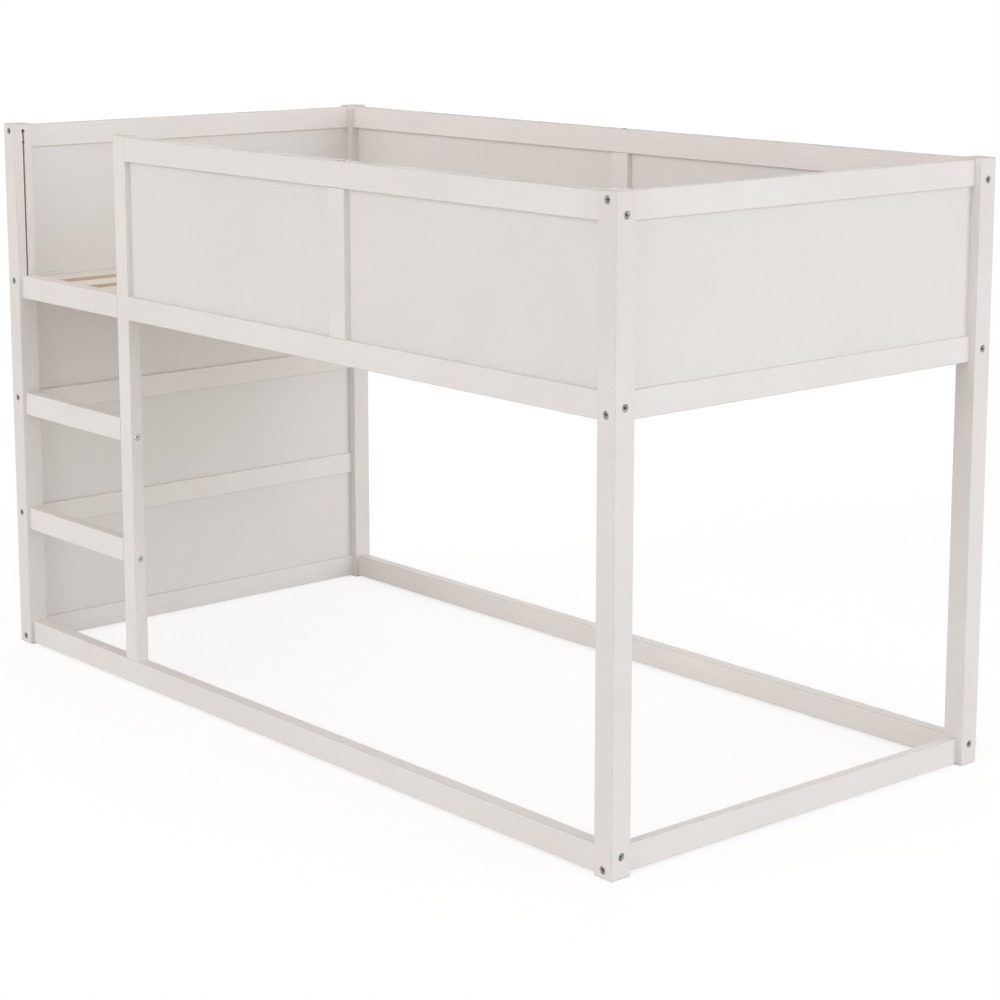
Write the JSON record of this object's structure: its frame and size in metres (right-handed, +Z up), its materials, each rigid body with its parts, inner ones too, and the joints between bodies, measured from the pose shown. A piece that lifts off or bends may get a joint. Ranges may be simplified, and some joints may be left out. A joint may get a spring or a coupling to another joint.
{
  "type": "mid sleeper bed",
  "caption": "Raised single bed frame with square posts, a panelled guard round the sleeping level, a closed panelled end and a rung ladder at the entry gap.",
  "frame": {"origin": "on the floor under the middle of the bed", "axes": "+X along the bed, away from the ladder end; +Y across the bed, from the ladder side to the plain side; +Z up"},
  "size_m": [1.985, 0.982, 1.19],
  "materials": {
    "painted_wood": "satin paint",
    "painted_panel": "satin paint",
    "bare_pine": "bare, planed",
    "dowel_wood": "bare, turned",
    "bolts": "zinc plated",
    "inserts": "zinc plated",
    "screws": "zinc plated"
  },
  "bodies": {
    "root": {"back_bed_rail": "painted_wood", "back_bottom_rail": "painted_wood", "back_ledger": "bare_pine", "back_left_panel": "painted_panel", "back_right_panel": "painted_panel", "back_stile": "painted_wood", "back_top_rail": "painted_wood", "dowels": "dowel_wood", "end_rail_bolts": "bolts", "front_bed_rail": "painted_wood", "front_bottom_rail": "painted_wood", "front_ledger": "bare_pine", "front_left_panel": "painted_panel", "front_right_panel": "painted_panel", "front_stile": "painted_wood", "front_top_rail": "painted_wood", "insert_nuts": "inserts", "ladder_bolts": "bolts", "ladder_foot_bolt": "bolts", "ladder_post": "painted_wood", "lap_screws": "screws", "ledger_screws": "screws", "left_bed_rail": "painted_wood", "left_bottom_rail": "painted_wood", "left_lower_panel": "painted_panel", "left_lower_rail": "painted_wood", "left_middle_panel": "painted_panel", "left_top_panel": "painted_panel", "left_top_rail": "painted_wood", "left_upper_panel": "painted_panel", "left_upper_rail": "painted_wood", "long_rail_bolts": "bolts", "lower_rung": "painted_wood", "post_back_left": "painted_wood", "post_back_right": "painted_wood", "post_front_left": "painted_wood", "post_front_right": "painted_wood", "right_bed_rail": "painted_wood", "right_bottom_rail": "painted_wood", "right_panel": "painted_panel", "right_top_rail": "painted_wood", "slat_01": "bare_pine", "slat_02": "bare_pine", "slat_03": "bare_pine", "slat_04": "bare_pine", "slat_05": "bare_pine", "slat_06": "bare_pine", "slat_07": "bare_pine", "slat_08": "bare_pine", "slat_09": "bare_pine", "slat_10": "bare_pine", "slat_11": "bare_pine", "slat_12": "bare_pine", "slat_13": "bare_pine", "slat_14": "bare_pine", "slat_15": "bare_pine", "slat_16": "bare_pine", "slat_screws": "screws", "stile_bolts": "bolts", "upper_rung": "painted_wood"}
  },
  "joints": []
}
